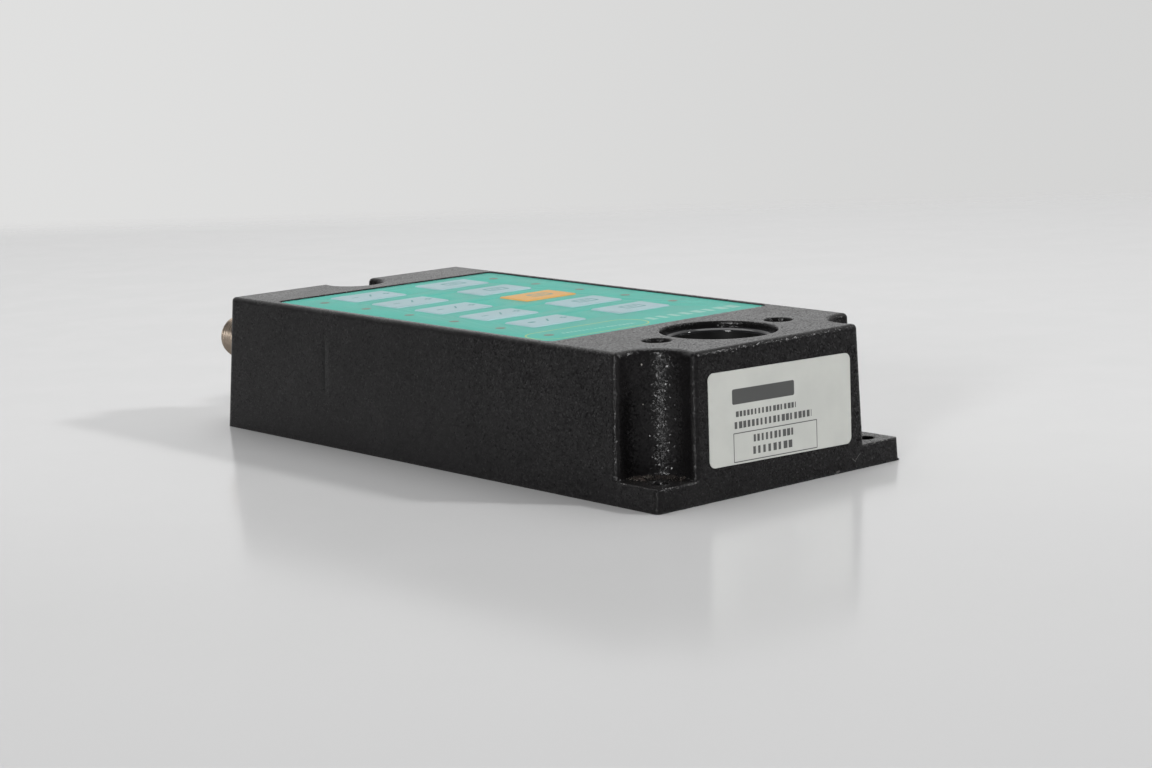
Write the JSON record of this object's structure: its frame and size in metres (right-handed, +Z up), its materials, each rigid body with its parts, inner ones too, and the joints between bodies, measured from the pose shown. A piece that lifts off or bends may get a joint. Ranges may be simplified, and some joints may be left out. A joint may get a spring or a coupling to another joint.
{
  "type": "color sensor",
  "caption": "Flat rectangular colour sensor with a keypad film of keys on top, a round optical opening, scooped fixing ears and rear sockets.",
  "frame": {"origin": "centre of the housing's footprint on the base plane", "axes": "+Z up through the keypad, -Y out of the label wall, +Y out of the rear sockets, +X to the right seen from the label wall"},
  "size_m": [0.0864, 0.1935, 0.0375],
  "materials": {
    "housing_coat": "matte",
    "keypad_film": "satin",
    "key_plastic": "matte",
    "black_plastic": "matte",
    "clear_plastic": "gloss",
    "board_laminate": "satin",
    "zinc_steel": "satin",
    "black_steel": "satin",
    "plain_brass": "satin",
    "nickel_brass": "satin",
    "bare_aluminium": "satin",
    "base_sheet": "matte",
    "black_aluminium": "gloss",
    "lens_glass": "gloss",
    "black_rubber": "matte",
    "label_foil": "satin"
  },
  "bodies": {
    "sensor_body": {"aperture_disc": "black_plastic", "barrel_seal": "black_rubber", "base_gasket": "black_rubber", "base_plate": "base_sheet", "base_screws": "zinc_steel", "board_link_plug": "black_plastic", "board_link_socket": "black_plastic", "board_standoffs": "plain_brass", "color_detector": "black_plastic", "detector_board": "board_laminate", "detector_board_screws": "zinc_steel", "detector_link": "black_plastic", "front_lens": "lens_glass", "housing": "housing_coat", "illumination_lights": "clear_plastic", "indicator_lights": "clear_plastic", "key_switches": "black_plastic", "keypad_board": "board_laminate", "keypad_board_screws": "zinc_steel", "keypad_overlay": "keypad_film", "label_plate": "label_foil", "left_socket_board": "board_laminate", "left_socket_contacts": "plain_brass", "left_socket_insert": "black_plastic", "left_socket_nut": "nickel_brass", "left_socket_seal": "black_rubber", "left_socket_shell": "nickel_brass", "lens_barrel": "black_aluminium", "lens_retaining_ring": "black_aluminium", "light_baffle": "black_plastic", "main_board": "board_laminate", "main_board_capacitors": "bare_aluminium", "main_board_chips": "black_plastic", "main_board_screws": "zinc_steel", "optics_block": "black_aluminium", "optics_screws": "black_steel", "right_socket_board": "board_laminate", "right_socket_contacts": "plain_brass", "right_socket_insert": "black_plastic", "right_socket_nut": "nickel_brass", "right_socket_seal": "black_rubber", "right_socket_shell": "nickel_brass"},
    "key_1": {"key_cap_1": "key_plastic"},
    "key_2": {"key_cap_2": "key_plastic"},
    "key_3": {"key_cap_3": "key_plastic"},
    "key_4": {"key_cap_4": "key_plastic"},
    "key_5": {"key_cap_5": "key_plastic"},
    "key_6": {"key_cap_6": "key_plastic"},
    "key_7": {"key_cap_7": "key_plastic"},
    "key_8": {"key_cap_8": "key_plastic"},
    "key_9": {"key_cap_9": "key_plastic"},
    "key_10": {"key_cap_10": "key_plastic"}
  },
  "joints": [
    {"name": "key_1_press", "type": "slide", "parent": "sensor_body", "child": "key_1", "axis": [0, 0, -1], "range_m": [0, 0.0004], "stiffness_N_per_m": 5000},
    {"name": "key_2_press", "type": "slide", "parent": "sensor_body", "child": "key_2", "axis": [0, 0, -1], "range_m": [0, 0.0004], "stiffness_N_per_m": 5000},
    {"name": "key_3_press", "type": "slide", "parent": "sensor_body", "child": "key_3", "axis": [0, 0, -1], "range_m": [0, 0.0004], "stiffness_N_per_m": 5000},
    {"name": "key_4_press", "type": "slide", "parent": "sensor_body", "child": "key_4", "axis": [0, 0, -1], "range_m": [0, 0.0004], "stiffness_N_per_m": 5000},
    {"name": "key_5_press", "type": "slide", "parent": "sensor_body", "child": "key_5", "axis": [0, 0, -1], "range_m": [0, 0.0004], "stiffness_N_per_m": 5000},
    {"name": "key_6_press", "type": "slide", "parent": "sensor_body", "child": "key_6", "axis": [0, 0, -1], "range_m": [0, 0.0004], "stiffness_N_per_m": 5000},
    {"name": "key_7_press", "type": "slide", "parent": "sensor_body", "child": "key_7", "axis": [0, 0, -1], "range_m": [0, 0.0004], "stiffness_N_per_m": 5000},
    {"name": "key_8_press", "type": "slide", "parent": "sensor_body", "child": "key_8", "axis": [0, 0, -1], "range_m": [0, 0.0004], "stiffness_N_per_m": 5000},
    {"name": "key_9_press", "type": "slide", "parent": "sensor_body", "child": "key_9", "axis": [0, 0, -1], "range_m": [0, 0.0004], "stiffness_N_per_m": 5000},
    {"name": "key_10_press", "type": "slide", "parent": "sensor_body", "child": "key_10", "axis": [0, 0, -1], "range_m": [0, 0.0004], "stiffness_N_per_m": 5000}
  ]
}
